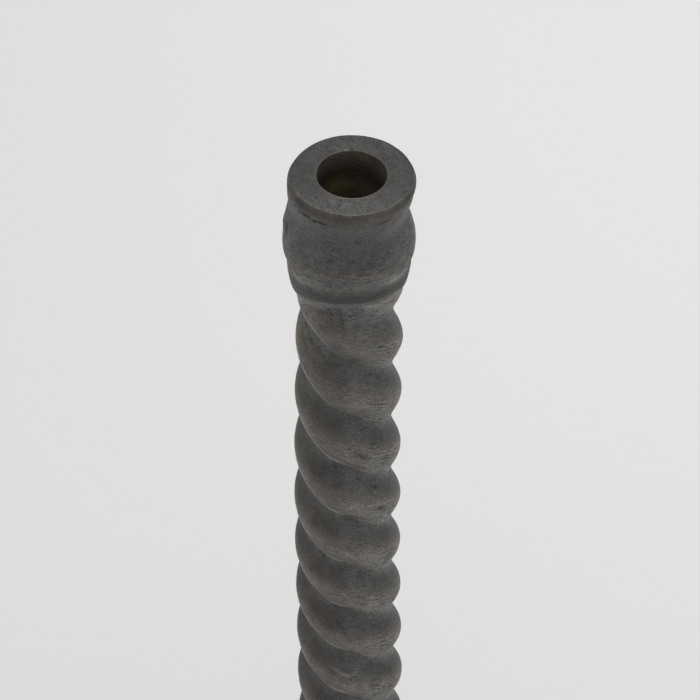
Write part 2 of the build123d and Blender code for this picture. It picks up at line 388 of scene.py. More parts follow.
def aged_metal(colours):
    """Dark cast metal under a rubbed grey-brown patina, with painted light, shade and highlights from the
    marks.
    """
    material, tree = new_material("aged_cast_metal")
    here = put(tree, "ShaderNodeTexCoord").outputs["Object"]
    x, y, z = parts_of(tree, here)
    raised, sunk, tanned, worn, sooty, brushed, filed, creased, ledge = (
        mark(tree, name) for name in METAL_MARKS
    )
    # Patterns that lie still in space
    drifts = cloud(tree, here, 22 * MM, 3.0, 1.0)
    mottle = cloud(tree, here, 5 * MM, 4.0, 2.0, 0.6)
    grain = cloud(tree, here, 0.8 * MM, 2.0, 3.0, 0.8)
    specks = cloud(tree, here, 0.8 * MM, 1.0, 4.0).between(0.72, 0.8)
    pits = cloud(tree, here, 2.4 * MM, 1.0, 5.0)
    scuffs = cloud(tree, here, 2.6 * MM, 3.0, 13.0, 0.7)
    scuffs = (scuffs - 0.5).absolute().below(0.0, 0.035)
    reach = (x * x + y * y).root()
    spokes = cloud(tree, xyz(tree, x / reach, y / reach, reach * 4.0), 0.022, 3.0, 14.0, 0.6)
    # Patterns that follow the strands, and lie level on the head
    twist = 2 * pi / bpy.context.scene.holder_stem.lead
    unwind = z.at_least(COLLAR_Z).at_most(SEAT_Z) * twist
    turned = {"Vector": here, "Angle": unwind}
    straight = put(tree, "ShaderNodeVectorRotate", {"rotation_type": "Z_AXIS"}, turned)
    along_x, along_y, along_z = parts_of(tree, straight.outputs[0])
    head = z.between(SEAT_Z - 0.1 * MM, SEAT_Z + 0.1 * MM)

    def drawn_out(wide, tall):
        """The straightened place, scaled across and along the strands."""
        return xyz(tree, along_x * wide, along_y * wide, along_z * tall)

    strokes = drawn_out(1.0 - head * 0.65, 0.4 + head * 0.6)
    strokes = cloud(tree, strokes, 0.8 * MM, 2.0, 12.0, 0.6, 1.0)
    furrows = (strokes - 0.5).absolute().below(0.0, 0.05)
    scribble = drawn_out(1.0 - head * 0.45, 1.3 - head * 0.3)
    scribble = cloud(tree, scribble, 1.2 * MM, 2.0, 15.0, 0.65, 1.5)
    folds = (ledge * CREASE_RATE + (mottle - 0.5) * 16.0 + (drifts - 0.5) * 20.0).sine() * creased
    # How light the patina is, as swings of the patterns about their middle; the grain and scribble swing
    # wider where painted light and rubbed patina are marked
    lit_and_rubbed_share = raised.at_most(1.4) * (1.0 - brushed)
    swings = (
        (drifts, 0.9),
        (mottle, 1.5),
        (grain, 0.95 + lit_and_rubbed_share * 0.8),
        (scribble, 1.7 + lit_and_rubbed_share * 1.5),
    )
    tone = 1.0 + folds * 0.45
    for pattern, swing in swings:
        tone = tone + (pattern - 0.5) * swing
    # Painted light and shade: lighter where painted light and rubbed patina are marked, darker where
    # painted shade and dark patina are marked
    tone = tone * (1.0 + raised * 0.38) * (1.0 - sunk * 0.3) * (1.0 - brushed * 0.66)
    tone = tone + brushed * ((spokes - 0.5) * 0.2 + (mottle - 0.5) * 0.5)
    tone = tone + filed * ((strokes - 0.5) * 3.2 - furrows * 0.25 + 0.12)
    tone = tone * (1.0 - pits.below(0.16, 0.24) * 0.6)
    # Light scuffs where painted light and rubbed patina are marked
    tone = (tone + scuffs * raised * 0.36).at_least(0.25)
    for ends in PIN_HOLES:
        hole = away_from(x, y, z, *ends).below(0.3 * MM, 0.7 * MM)
        tone = tone * (1.0 - hole * 0.6)
    tan = tanned * (0.55 + (mottle * 0.6 + scribble * 0.4).between(0.35, 0.65) * 0.45)
    colour = mix_colour(tree, tan, tuple(colours.patina_grey), tuple(colours.patina_brown))
    colour = scaled(tree, colour, tone)
    # Bare metal and painted highlights, and the stain in the hole and on the lip with its painted shade
    # and painted light
    bright = worn * (grain * 0.6 + strokes * 0.4).between(0.3, 0.56) + specks * 0.5
    patchy = 0.5 + (grain * 0.5 + mottle * 0.5).between(0.3, 0.6) * 0.5
    for start, end, strength in SCRATCHES:
        scratched = away_from(x, y, z, start, end).below(0.0, 1.0 * MM)
        bright = bright.at_least(scratched * patchy * strength)
    colour = mix_colour(tree, bright, colour, tuple(colours.bare_metal))
    stain, light = socket_stain(tree, colours, x, RIM_Z - z, mottle)
    around_hole = 0.95 + reach.between(SOCKET_R + 0.5 * MM, SOCKET_R + 1.5 * MM) * 0.15
    stain = scaled(tree, stain, light * (0.2 + grain + mottle * 0.6) * (around_hole - sunk * 0.2))
    colour = mix_colour(tree, sooty, colour, stain)
    # Relief, as pairs of a pattern and its depth
    combed = strokes * filed + spokes * brushed * 0.2
    reliefs = (
        (mottle, 0.7 * MM),
        (pits.between(0.16, 0.28), 0.3 * MM),
        (scribble, 0.3 * MM),
        (folds, 0.12 * MM),
        (grain, 0.3 * MM),
        (combed, 0.4 * MM),
    )
    skin = None
    for pattern, relief in reliefs:
        skin = bump(tree, pattern, relief, skin)
    finish_material(
        tree,
        Base_Color=colour,
        Metallic=0.1,
        Roughness=0.42 + mottle * 0.16 + grain * 0.16,
        Specular_IOR_Level=0.1 + scribble * 0.4 + grain * 0.4,
        Normal=skin,
    )
    return material


def wool_felt(colours):
    """Pressed black wool felt."""
    material, tree = new_material("wool_felt")
    here = put(tree, "ShaderNodeTexCoord").outputs["Object"]
    tufts = cloud(tree, here, 1.5 * MM, 5.0, 6.0, 0.7)
    fibres = cloud(tree, here, 0.35 * MM, 2.0, 7.0)
    dark = tuple(channel * 0.55 for channel in colours.felt_black)
    colour = mix_colour(tree, tufts.between(0.3, 0.7), dark, tuple(colours.felt_black))
    nap = bump(tree, tufts * 0.5 + fibres * 0.5, 0.4 * MM)
    finish_material(
        tree, Base_Color=colour, Roughness=0.95, Sheen_Weight=0.3, Sheen_Roughness=0.6, Normal=nap
    )
    return material


def zinc_plate(colours):
    """Zinc-plated steel with a faint spangle and turning marks."""
    material, tree = new_material("zinc_plated_steel")
    here = put(tree, "ShaderNodeTexCoord").outputs["Object"]
    _, _, z = parts_of(tree, here)
    spangle = cloud(tree, here, 2.0 * MM, 2.0, 8.0)
    rings = cloud(tree, xyz(tree, 0.0, 0.0, z), 0.25 * MM, 2.0, 9.0)
    dull = tuple(channel * 0.72 for channel in colours.zinc)
    colour = mix_colour(tree, spangle.between(0.3, 0.7), dull, tuple(colours.zinc))
    skin = bump(tree, rings, 0.05 * MM)
    finish_material(tree, Base_Color=colour, Metallic=1.0, Roughness=0.3 + spangle * 0.2, Normal=skin)
    return material


def pale_floor(colours):
    """Smooth pale floor with the faintest unevenness of tone."""
    material, tree = new_material("pale_floor")
    here = put(tree, "ShaderNodeTexCoord").outputs["Object"]
    patches = cloud(tree, here, 0.5, 2.0, 10.0)
    shade = tuple(channel * 0.97 for channel in colours.floor)
    colour = mix_colour(tree, patches, shade, tuple(colours.floor))
    finish_material(tree, Base_Color=colour, Roughness=0.9)
    return material


def material_named(name, maker):
    """A material by name, made once."""
    found = bpy.data.materials.get(name)
    return found or maker(bpy.context.scene.holder_colours)


def stretch(start, end, steps):
    """Points on a straight line, without its end."""
    return [
        tuple(a + (b - a) * i / steps for a, b in zip(start, end)) for i in range(steps)
    ]


def corner(centre, radius, start, end, steps):
    """Points on an arc about centre from start to end degrees, without its end."""
    points = []
    for i in range(steps):
        angle = radians(start + (end - start) * i / steps)
        points.append((centre[0] + radius * cos(angle), centre[1] + radius * sin(angle)))
    return points


def curl_down(start, end, steps):
    """Points from end back to start on an arc that leaves start upright, without start."""
    across = start[0] - end[0]
    up = end[1] - start[1]
    radius = hypot(across, up) ** 2 / (2 * across)
    swing = asin(up / radius)
    points = []
    for i in range(steps):
        angle = swing * (1 - i / steps)
        points.append((start[0] - radius * (1 - cos(angle)), start[1] + radius * sin(angle)))
    return points


def fair_curve(knots, steps):
    """Points on a smooth curve through (position, value) knots, with its end."""
    slopes = []
    for i in range(len(knots)):
        before = knots[max(i - 1, 0)]
        after = knots[min(i + 1, len(knots) - 1)]
        slopes.append((after[1] - before[1]) / (after[0] - before[0]))
    points = []
    for i, count in enumerate(steps):
        (p0, v0), (p1, v1) = knots[i], knots[i + 1]
        run = p1 - p0
        for step in range(count):
            t = step / count
            rise = (1 + 2 * t) * (1 - t) ** 2 * v0 + t * t * (3 - 2 * t) * v1
            rise += (t * (1 - t) ** 2 * slopes[i] - t * t * (1 - t) * slopes[i + 1]) * run
            points.append((p0 + run * t, rise))
    points.append(knots[-1])
    return points


def around(angle, radius=1.0, height=0.0):
    """The point in a direction about the axis, at a radius and a height."""
    return Vector((radius * cos(angle), radius * sin(angle), height))


def lumps(point, size, seed):
    """Soft unevenness from -1 to 1 with lumps about size metres across."""
    return noise.noise(point / size + Vector((seed, seed * 1.7, seed * 2.3)))


def turned_piece(name, outline, segments, reshape, marks):
    """Turns an outline of (radius, height), from pole to pole, into a closed mesh.

    reshape moves each point off the perfect round, and marks paints numbers for the finish.
    """
    rings = outline[1:-1]
    places = [(*outline[0], 0.0)]
    for ring in rings:
        places += [(*ring, 2 * pi * step / segments) for step in range(segments)]
    places.append((*outline[-1], 0.0))
    last = len(places) - 1
    faces = []
    for step in range(segments):
        after = (step + 1) % segments
        faces.append((0, 1 + after, 1 + step))
        faces.append((last, last - segments + step, last - segments + after))
        for ring in range(len(rings) - 1):
            low = 1 + ring * segments
            high = low + segments
            faces.append((low + step, low + after, high + after, high + step))
    mesh = bpy.data.meshes.new(name)
    mesh.from_pydata([reshape(*place) for place in places], [], faces)
    mesh.update()
    mesh.polygons.foreach_set("use_smooth", [True] * len(mesh.polygons))
    for mark_name, painter in marks.items():
        layer = mesh.attributes.new(mark_name, "FLOAT", "POINT")
        layer.data.foreach_set("value", [painter(*place) for place in places])
    return add_piece(name, mesh)


def add_piece(name, mesh):
    """Puts a mesh in the scene as a piece at the origin."""
    piece = bpy.data.objects.new(name, mesh)
    bpy.context.scene.collection.objects.link(piece)
    return piece


def hill(value, centre, width):
    """1 at centre, falling smoothly to 0 some widths away."""
    return exp(-(((value - centre) / width) ** 2))


def ease(value, low, high):
    """0 below low, 1 above high, smooth between."""
    t = max(0.0, min(1.0, (value - low) / (high - low)))
    return t * t * (3.0 - 2.0 * t)


def towards(angle, direction, spread):
    """1 in a direction, falling smoothly to 0 some spreads away; both are in degrees."""
    gap = abs((angle - radians(direction) + pi) % (2 * pi) - pi)
    return hill(gap, 0.0, radians(spread))


class HOLDER_OT_candle_head(bpy.types.Operator):
    """Turn the candle head with its lip, barrel, bead and socket"""

    bl_idname = "candle_holder.candle_head"
    bl_label = "Candle head"

    SEGMENTS = 240
    RIM_EDGE = 0.35 * MM
    MOUTH_EDGE = 0.25 * MM
    FLARE_DEPTH = 7 * MM
    # Chips in the rim: direction in degrees, distance from the axis and width in millimetres
    CHIPS = (
        (224.0, 16.9, 0.55),
        (244.0, 17.9, 0.5),
        (255.0, 16.2, 0.5),
        (333.0, 19.8, 0.8),
        (310.0, 14.5, 0.4),
    )
    # Dark blots on the lip: direction and spread in degrees, and strength
    LIP_BLOTS = (
        (30.0, 12.0, 1.2),
        (120.0, 9.0, 1.4),
        (218.0, 8.0, 1.8),
        (243.0, 3.0, 0.8),
        (262.0, 4.0, 1.0),
        (318.0, 4.0, 0.8),
        (335.0, 9.0, 2.0),
    )

    def outline(self, s):
        """Half section from the seat up the outside, over the rim and down the socket."""
        depth = RIM_Z - SEAT_Z
        side = [
            (depth, s.seat_radius),
            (depth - 0.9 * MM, s.seat_radius + 1.15 * MM),
            (s.bead_low_depth, s.bead_low_radius),
            (s.bead_depth, s.bead_radius),
            (s.groove_depth, s.groove_radius),
            (s.barrel_foot_depth, s.barrel_foot_radius),
            (s.belly_depth, s.belly_radius),
            ((s.belly_depth + s.neck_depth) / 2, (s.belly_radius + s.neck_radius) / 2 + 0.15 * MM),
            (s.neck_depth, s.neck_radius),
            (s.crease_depth + 2 * MM, s.lip_radius - 0.45 * MM),
            (s.crease_depth, s.lip_radius - 0.2 * MM),
            (s.lip_height, s.lip_radius - 0.05 * MM),
            (2 * MM, s.lip_radius),
            (self.RIM_EDGE, s.rim_radius + 0.25 * MM),
        ]
        steps = (6, 10, 18, 14, 12, 22, 30, 30, 30, 20, 8, 14, 10)
        points = stretch((0.0, SEAT_Z), (s.seat_radius, SEAT_Z), 10)
        points += [(radius, RIM_Z - down) for down, radius in fair_curve(side, steps)]
        rim = s.rim_radius - 0.1 * MM
        points += corner((rim, RIM_Z - self.RIM_EDGE), self.RIM_EDGE, 0, 90, 6)
        mouth = SOCKET_R + s.socket_flare
        mouth_low = RIM_Z - self.MOUTH_EDGE
        points += stretch((rim, RIM_Z), (mouth + self.MOUTH_EDGE, RIM_Z), 30)
        points += corner((mouth + self.MOUTH_EDGE, mouth_low), self.MOUTH_EDGE, 90, 180, 5)
        flare_low = RIM_Z - self.FLARE_DEPTH
        floor = RIM_Z - s.socket_depth
        points += stretch((mouth, mouth_low), (SOCKET_R, flare_low), 24)
        points += stretch((SOCKET_R, flare_low), (SOCKET_R, floor), 34)
        points += stretch((SOCKET_R, floor), (0.0, floor), 12)
        points.append((0.0, floor))
        return points

    def execute(self, context):
        s = context.scene.holder_head
        inside = SOCKET_R + s.socket_flare + 0.05 * MM
        full_depth = RIM_Z - SEAT_Z
        flat_depth = 0.1 * MM

        def crack(depth, angle):
            """How open the crease under the lip is: two stretches of it have cracked."""
            left = towards(angle, 232, 19)
            right = 0.5 * towards(angle, 303, 11)
            spot = around(angle)
            drift = 0.3 * MM * lumps(spot, 0.2, 8.0) + 0.5 * MM * lumps(spot, 0.06, 8.5)
            gaps = max(0.0, min(1.0, 1.0 + 1.7 * lumps(spot, 0.04, 9.0)))
            line = hill(depth, s.crease_depth + drift, (0.2 + 0.2 * gaps) * MM)
            return max(left * gaps, right, 0.06) * line

        def fold(depth, angle):
            """A flaw in the casting at the barrel's left."""
            return towards(angle, 195, 2.8) * hill(depth, 18.7 * MM, 2.8 * MM)

        def flap(depth, angle):
            """The raised edge beside that flaw."""
            return towards(angle, 184, 6) * hill(depth, 18.5 * MM, 4 * MM)

        def skirt(angle):
            """How far the bead hangs down over the stem at its two sides."""
            left = -cos(angle)
            ends = ease(left, 0.8, 1.0) + ease(-left, 0.8, 1.0)
            return s.skirt_left * ease(left, 0.1, 0.9) + s.skirt_ends * ends

        def front(angle):
            """1 on the photographed side, 0 at the sides and behind."""
            return ease(-sin(angle), 0.5, 0.95)

        def chip(radius, angle):
            """Small chips knocked out of the flat rim."""
            spot = around(angle, radius)
            found = 0.0
            for direction, reach, width in self.CHIPS:
                middle = around(radians(direction), reach * MM)
                found = max(found, hill((spot - middle).length, 0.0, width * MM))
            return found

        def stray(spot, radius, depth, angle):
            """How far the casting's outside strays outwards and upwards."""
            out = s.dent * (lumps(spot, 13 * MM, 1.0) + 0.5 * lumps(spot, 4.5 * MM, 2.0))
            out += s.fold_flap * flap(depth, angle) - s.fold_cut * fold(depth, angle)
            out -= s.crease_cut * crack(depth, angle)
            out += s.neck_swell * max(0.0, cos(angle)) ** 4 * hill(depth, 10 * MM, 3.5 * MM)
            up = -s.left_tilt * max(0.0, -cos(angle)) * ease(depth, 20 * MM, 32 * MM)
            if depth < flat_depth:
                up += 0.4 * s.dent * (lumps(spot, 8 * MM, 3.0) - 0.7)
                up -= s.mouth_nick * towards(angle, 92, 5) * hill(radius, inside, 1.2 * MM)
                up -= s.chip_cut * chip(radius, angle)
            if depth > 28 * MM:
                sag = 0.45 * MM * lumps(around(angle, radius), 15 * MM, 4.0)
                up += sag * hill(depth, s.groove_depth, 3.5 * MM)
            if depth > 22 * MM:
                lift = ease(depth, 23 * MM, 30 * MM) * (1.0 - ease(depth, 33 * MM, full_depth))
                low_lift = 0.9 * MM * hill(depth, s.bead_low_depth + 0.7 * MM, 1.5 * MM)
                up += front(angle) * (s.front_lift * lift + low_lift)
                fill = 0.65 * hill(depth, s.groove_depth, 1 * MM)
                fill += 0.3 * hill(depth, s.bead_depth, 1.8 * MM)
                fill -= 0.2 * hill(depth, s.barrel_foot_depth - 0.3 * MM, 1.5 * MM)
                out += fill * MM * front(angle)
            return out, up

        def reshape(radius, height, angle):
            depth = RIM_Z - height
            spot = around(angle, radius, height)
            out, up = 0.0, 0.0
            if radius > inside and height > SEAT_Z:
                out, up = stray(spot, radius, depth, angle)
            if radius > inside:
                hang = skirt(angle) * ease(radius, inside, s.seat_radius)
                up -= hang * max(0.0, (depth - s.bead_depth) / (full_depth - s.bead_depth))
            wear = s.mouth_wear * towards(angle, 97, 50)
            if SOCKET_R <= radius < inside and depth < self.FLARE_DEPTH:
                out += wear * (1.0 - depth / self.FLARE_DEPTH) ** 2
            elif radius >= inside and depth < 0.3 * MM:
                out += wear * exp((inside - radius) / (2.5 * MM))
            at_rim = hill(depth, 0.0, 8 * MM)
            sway = at_rim - 0.75 * hill(depth, s.neck_depth + 2.5 * MM, 5 * MM)
            x = (radius + out) * cos(angle) + s.lean * sway
            y = (radius + out) * sin(angle) + 0.1 * MM * at_rim
            return (x, y, height + up)

        def outside(painter):
            """Hands a painter depths under the rim, and leaves the hole bare."""

            @wraps(painter)
            def paint(radius, height, angle):
                return painter(radius, RIM_Z - height, angle) if radius > inside else 0.0

            return paint

        # Lighter towards the rim's near and far sides, on the bead's lower front and below the belly;
        # painted light on the bead's shoulder and under the lip on the left, where the barrel and the lip
        # cast shade, and a painted highlight on the right of the neck
        @outside
        def raised(radius, depth, angle):
            if depth < flat_depth:
                return 1.7 * towards(angle, 268, 48) + 0.85 * towards(angle, 92, 40)
            shoulder = 0.5 * front(angle) * hill(depth, s.groove_depth + 0.8 * MM, 1.2 * MM)
            left_neck = 0.45 * towards(angle, 208, 16) * hill(depth, 7 * MM, 2.5 * MM)
            right_neck = 0.4 * towards(angle, 335, 18) * hill(depth, 9 * MM, 4 * MM)
            low_bead = 0.7 * front(angle) * ease(depth, 40.4 * MM, 42 * MM)
            belly = 0.25 * hill(depth, s.belly_depth + 3 * MM, 3 * MM)
            return max(shoulder, left_neck, right_neck, low_bead, belly)

        @outside
        def tanned(radius, depth, angle):
            if depth < flat_depth:
                sides = 0.4 * towards(angle, 92, 50) + 0.3 * towards(angle, 268, 50)
                return min(1.0, 0.15 + sides + 0.85 * hill(radius, inside, 2.2 * MM))
            lip = 1.0 if depth < 2.5 * MM else hill(depth, 2.5 * MM, 0.4 * MM)
            return max(lip, 0.3, hill(depth, s.belly_depth + 3 * MM, 5 * MM))

        # Darker on the rim's far and right edges and in its chips, along the lip's band, at its ends and
        # in its blots, and in the crack and the flaw; darker round the barrel's middle except on the
        # left, with painted shade on its right below the neck, and painted shade on the bead below its
        # fullest part, less at the front's lower edge
        @outside
        def sunk(radius, depth, angle):
            if depth < 0.3 * MM:
                edge = s.rim_radius + 0.1 * MM
                far_edge = 1.5 * hill(radius, edge, 0.4 * MM) * ease(sin(angle), -0.1, 0.4)
                right_edge = 1.3 * hill(radius, edge, 0.7 * MM) * ease(cos(angle), 0.75, 0.95)
                return max(far_edge, right_edge, 3.0 * chip(radius, angle))
            lip = 0.8 * hill(depth, 1.4 * MM, 0.9 * MM)
            ends = 1.4 if cos(angle) > 0 else 0.6
            lip += ends * abs(cos(angle)) ** 3 * hill(depth, 2.5 * MM, 1.8 * MM)
            for direction, spread, strength in self.LIP_BLOTS:
                lip += strength * towards(angle, direction, spread) * hill(depth, 2.4 * MM, 1.6 * MM)
            barrel = 0.5 * towards(angle, 342, 28) * ease(depth, 12 * MM, 18 * MM)
            barrel += 0.4 * ease(cos(angle), -0.6, -0.1) * hill(depth, 18 * MM, 7 * MM)
            bead = 1.9 * ease(depth, s.bead_depth - 0.5 * MM, s.bead_depth + 2.5 * MM)
            bead *= 1.0 - front(angle) * ease(depth, 39.9 * MM, 41.5 * MM)
            return min(3.0, lip + barrel + bead + 3.0 * (crack(depth, angle) + fold(depth, angle)))

        # Lighter along the rim's near edge; worn bare at the hole's mouth and its spur; painted
        # highlights along the seat's left edge and in the groove's left and right ends, and painted light
        # on the bead's shoulder in the barrel's overhang shade
        def worn(radius, height, angle):
            depth = RIM_Z - height
            left = towards(angle, 208, 32)
            right = towards(angle, 322, 24)
            edge = hypot(radius - s.rim_radius, depth)
            edge = 0.2 * hill(edge, 0.0, self.RIM_EDGE) * ease(-sin(angle), 0.1, 0.7)
            mouth = 0.1 * hill(hypot(radius - inside, depth), 0.0, 0.5 * MM)
            spur = 0.4 * towards(angle, 97, 5) * hill(radius, inside, 1 * MM) * (depth < flat_depth)
            seat = hypot(radius - s.seat_radius, height - SEAT_Z)
            seat = 0.9 * left * hill(seat, 0.0, 0.7 * MM)
            groove = max(left, right, 0.12) * hill(depth, s.groove_depth + 1.4 * MM, 0.9 * MM)
            groove = max(groove, 1.2 * max(left, right) * hill(depth, s.groove_depth, 0.45 * MM))
            spot = around(angle, height=depth / MM)
            groove *= max(0.25, 0.75 + 0.9 * lumps(spot, 0.2, 14.0)) * (radius > inside)
            return max(edge, mouth, spur, seat, groove)

        def sooty(radius, height, angle):
            depth = RIM_Z - height
            if depth < 0.2 * MM or height <= SEAT_Z:
                return 0.0
            if radius < inside:
                return 1.0
            spot = around(angle, height=depth / (8 * MM))
            patchy = max(0.0, 0.5 + 0.6 * lumps(spot, 0.3, 12.0) + 0.6 * lumps(spot, 0.08, 13.0))
            return min(1.0, patchy) * hill(depth, 2.2 * MM, 2 * MM)

        @outside
        def brushed(radius, depth, angle):
            return float(depth < flat_depth)

        @outside
        def filed(radius, depth, angle):
            low = 0.9 * hill(depth, s.barrel_foot_depth - 4 * MM, 5 * MM)
            sides = 1.3 * cos(angle) ** 2 * ease(depth, 13 * MM, 21 * MM) * (depth < s.groove_depth)
            return max(low, sides)

        painters = (raised, sunk, tanned, worn, sooty, brushed, filed)
        marks = {painter.__name__: painter for painter in painters}
        piece = turned_piece("candle_head_casting", self.outline(s), self.SEGMENTS, reshape, marks)
        piece.data.materials.append(material_named("aged_cast_metal", aged_metal))
        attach(piece, "root")
        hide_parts("candle_head")
        return {"FINISHED"}


class HOLDER_OT_spiral_stem(bpy.types.Operator):
    """Grow the twisted stem with Geometry Nodes"""

    bl_idname = "candle_holder.spiral_stem"
    bl_label = "Spiral stem"

    ROWS = 650
    CAP_ROWS = 4
    COLUMNS = 150
    RUN_OUT_BLEND = 1.2 * MM
    WELD = 0.002 * MM
    # Height over the foot in which the column's bend sets in
    SETTLE = 60 * MM
    # Small pits: centre, width and depth in millimetres
    FLAWS = (
        ((2.8, -19.0, 306.7), 1.5, 0.5),
        ((4.6, -18.7, 305.4), 2.0, 0.7),
        ((6.0, -18.3, 303.9), 1.4, 0.5),
        ((11.7, -15.7, 275.0), 1.8, 0.6),
        ((12.8, -14.8, 274.5), 1.4, 0.5),
        ((9.9, -13.2, 283.4), 0.9, 0.8),
        ((-8.6, -13.2, 246.2), 0.9, 0.7),
        ((-4.7, -13.6, 295.0), 0.8, 0.5),
        ((-12.6, -9.1, 352.5), 0.8, 0.5),
    )

    def marks(self, angle, depth, ledge, filed, flawed):
        """Numbers for the finish, from where a strand's side faces and how deep it lies: painted light on
        the strands' lower halves, painted shade on their upper halves, and a painted highlight along
        their left edges.
        """
        head = bpy.context.scene.holder_head

        def past(high, low):
            """0 above the first depth under the head, 1 below the second, in millimetres."""
            return depth.between(high * MM, low * MM)

        leftness = -angle.cosine()
        left_side = leftness.between(0.0, 0.6)
        left_limb = leftness.between(0.84, 1.0)
        far_right = angle.cosine().between(0.2, 0.7)
        behind = angle.sine().between(0.05, 0.6)
        near_left = angle.towards(243, 0.88, 1.0)
        near_front = angle.towards(262, 0.85, 0.98)
        mid_right = angle.towards(295, 0.85, 0.98)
        near_right = angle.towards(305, 0.45, 0.95)
        low_edge = ledge.below(-0.9, -0.3)
        top_edge = ledge.between(0.65, 1.0)
        # Painted light on each strand's lower half and painted shade on its upper half
        light = ledge.below(-0.1, 0.55) * (0.55 + past(5, 70) * 0.45)
        dark = ledge.between(0.1, 0.45) * ledge.below(0.7, 0.95)
        # Painted light under the head, where its shade falls, and high on the right; painted shade high
        # on the front left; painted light on a lens of the strands on the left
        under_head = 1.0 - past(4, 20)
        upper_right = angle.towards(305, 0.3, 0.8) * (1.0 - past(8, 16))
        upper_left = angle.towards(250, 0.93, 0.99) * past(4, 8) * (1.0 - past(11, 17))
        left_lens = leftness.between(0.35, 0.6) * ledge.between(-0.1, 0.3)
        left_lens = left_lens * past(4, 10) * (1.0 - past(25, 40))

        # The lighter mark, painted light as well as rubbed patina: the lower halves, stronger on the near
        # right and weaker on the near left and front, the upper halves on the mid right, the edges on the
        # far right, and the places above
        raised = light * (1.4 + near_right * 0.7 - near_left * 0.4 - near_front * 0.25)
        raised = raised + low_edge * far_right * 0.6 + dark * mid_right * 0.4
        raised = raised + top_edge * (0.2 + far_right * 0.7) + under_head * 0.9
        raised = raised + upper_right * 0.5 + left_lens * 0.8

        # The darker mark: painted shade on the upper halves, deeper on the near left, further down and on
        # the far right, kept off under the head; darker down the left side, dark patina in the pits, and
        # the painted shade high on the front left
        shadow = near_left * 0.85 + leftness.between(0.5, 0.7) * 0.5
        shadow = 0.25 + shadow * (0.35 + past(15, 45) * 0.65)
        sunk = dark * (shadow + far_right * (0.3 + past(40, 70) * 0.5)) * (1.0 - under_head)
        sunk = sunk + left_limb * past(40, 110) * 0.6 + flawed * 1.8 + upper_left * 1.3

        tanned = ledge.between(-1.3, -0.1) * ledge.below(0.15, 0.75) * (1.0 - filed * 0.5)
        tanned = tanned + dark * left_side * 0.7 + left_limb * 0.4

        # Painted highlight: a thin bright line along each strand's lower edge on the left, where it turns
        # away over the next strand, fading behind
        contour = leftness.between(0.45, 1.0) * 0.9 - 0.94
        line = (ledge - contour).absolute().below(0.02, 0.1)
        line = line * (leftness + past(45, 75) * 0.35).between(0.25, 0.7)
        line = line * past(8, 16) * (0.9 - behind * 0.9)
        # Painted light just under the head's skirt, where its shade falls, with some wear on the strands'
        # top edge: strongest at the front and on the left, fading behind
        ends = leftness.between(0.8, 1.0) + (-leftness).between(0.8, 1.0)
        hang = leftness.between(0.1, 0.9) * head.skirt_left + ends * head.skirt_ends
        under_head_left = leftness.between(0.15, 0.4)
        under_head_front = angle.towards(282, 0.84, 0.97)
        wear_and_light_under_head = depth - hang - 1.2 * MM - under_head_left * (1.4 * MM) - under_head_front * (2.8 * MM)
        wear_and_light_under_head = wear_and_light_under_head.absolute().below(0.5 * MM, 2.8 * MM - under_head_left * (1.2 * MM))
        wear_and_light_under_head = wear_and_light_under_head * (0.35 + under_head_front * 0.5 + under_head_left * (0.4 - behind * 0.4))
        return {"raised": raised, "sunk": sunk, "tanned": tanned, "worn": line.at_least(wear_and_light_under_head)}

    def tree(self, values):
        """Lays the node tree that bends a grid into the twisted stem."""
        tree = bpy.data.node_groups.new("Twisted stem", "GeometryNodeTree")
        tree.interface.new_socket("Geometry", in_out="OUTPUT", socket_type="NodeSocketGeometry")
        for name in values:
            kind = "NodeSocketMaterial" if name == "Finish" else "NodeSocketFloat"
            tree.interface.new_socket(name, in_out="INPUT", socket_type=kind)
        given = tree.nodes.new("NodeGroupInput")
        size = {name: Wire(tree, given.outputs[name]) for name in values if name != "Finish"}
        last_row = self.ROWS - 1.0
        counts = {"Vertices X": self.COLUMNS + 1, "Vertices Y": self.ROWS}
        grid = put(tree, "GeometryNodeMeshGrid", (), {"Size X": 1.0, "Size Y": 1.0, **counts})
        across, along, _ = parts_of(tree, tree.nodes.new("GeometryNodeInputPosition").outputs[0])
        phase = across * (2 * pi)
        row = (along + 0.5) * last_row
        rise = ((row - self.CAP_ROWS) / (last_row - 2 * self.CAP_ROWS)).clamped()
        cap = (row / self.CAP_ROWS).at_most((last_row - row) / self.CAP_ROWS).at_most(1.0)

        def graded(foot, top):
            """A size that changes evenly from the foot to the head."""
            return size[foot] + rise * (size[top] - size[foot])

        height = graded("Foot Height", "Head Height")
        depth = size["Head Height"] - height
        above = height - size["Foot Height"]
        seed = size["Seed"]
        # The twist, with its stray and a slip under the head
        stray = (depth + size["Wander Start"]) * (2 * pi) / size["Wander Wave"]
        angle = phase + size["Top Angle"] + depth * (2 * pi) / size["Lead"]
        angle = angle + stray.sine() * size["Wander"]
        slip = angle.towards(240, 0.85, 0.98) * depth.between(3 * MM, 10 * MM)
        angle = angle + slip * depth.below(18 * MM, 30 * MM) * radians(9)
        # Two round strands with a soft groove between them, run out at both ends
        parted = size["Parting"] * (angle - size["Parting Angle"]).cosine().absolute().power(5.0)
        strand = graded("Foot Strand", "Top Strand") - parted
        offset = graded("Foot Offset", "Top Offset") + parted
        soft_root = size["Root"] * (0.4 + angle.cosine().between(-0.7, 0.5) * 0.8)
        ridge = (phase.cosine() * phase.cosine() + soft_root * soft_root).root()
        side = phase.sine() * offset
        radius = offset * ridge + (strand * strand - side * side).root()
        for end, distance in (("Top", depth), ("Foot", above)):
            run_out = size[end + " Seat"] + distance * size[end + " Spread"]
            radius = radius.soft_min(run_out, self.RUN_OUT_BLEND)
        radius = radius + depth.below(0.0, 3.5 * MM) * (0.7 * MM)
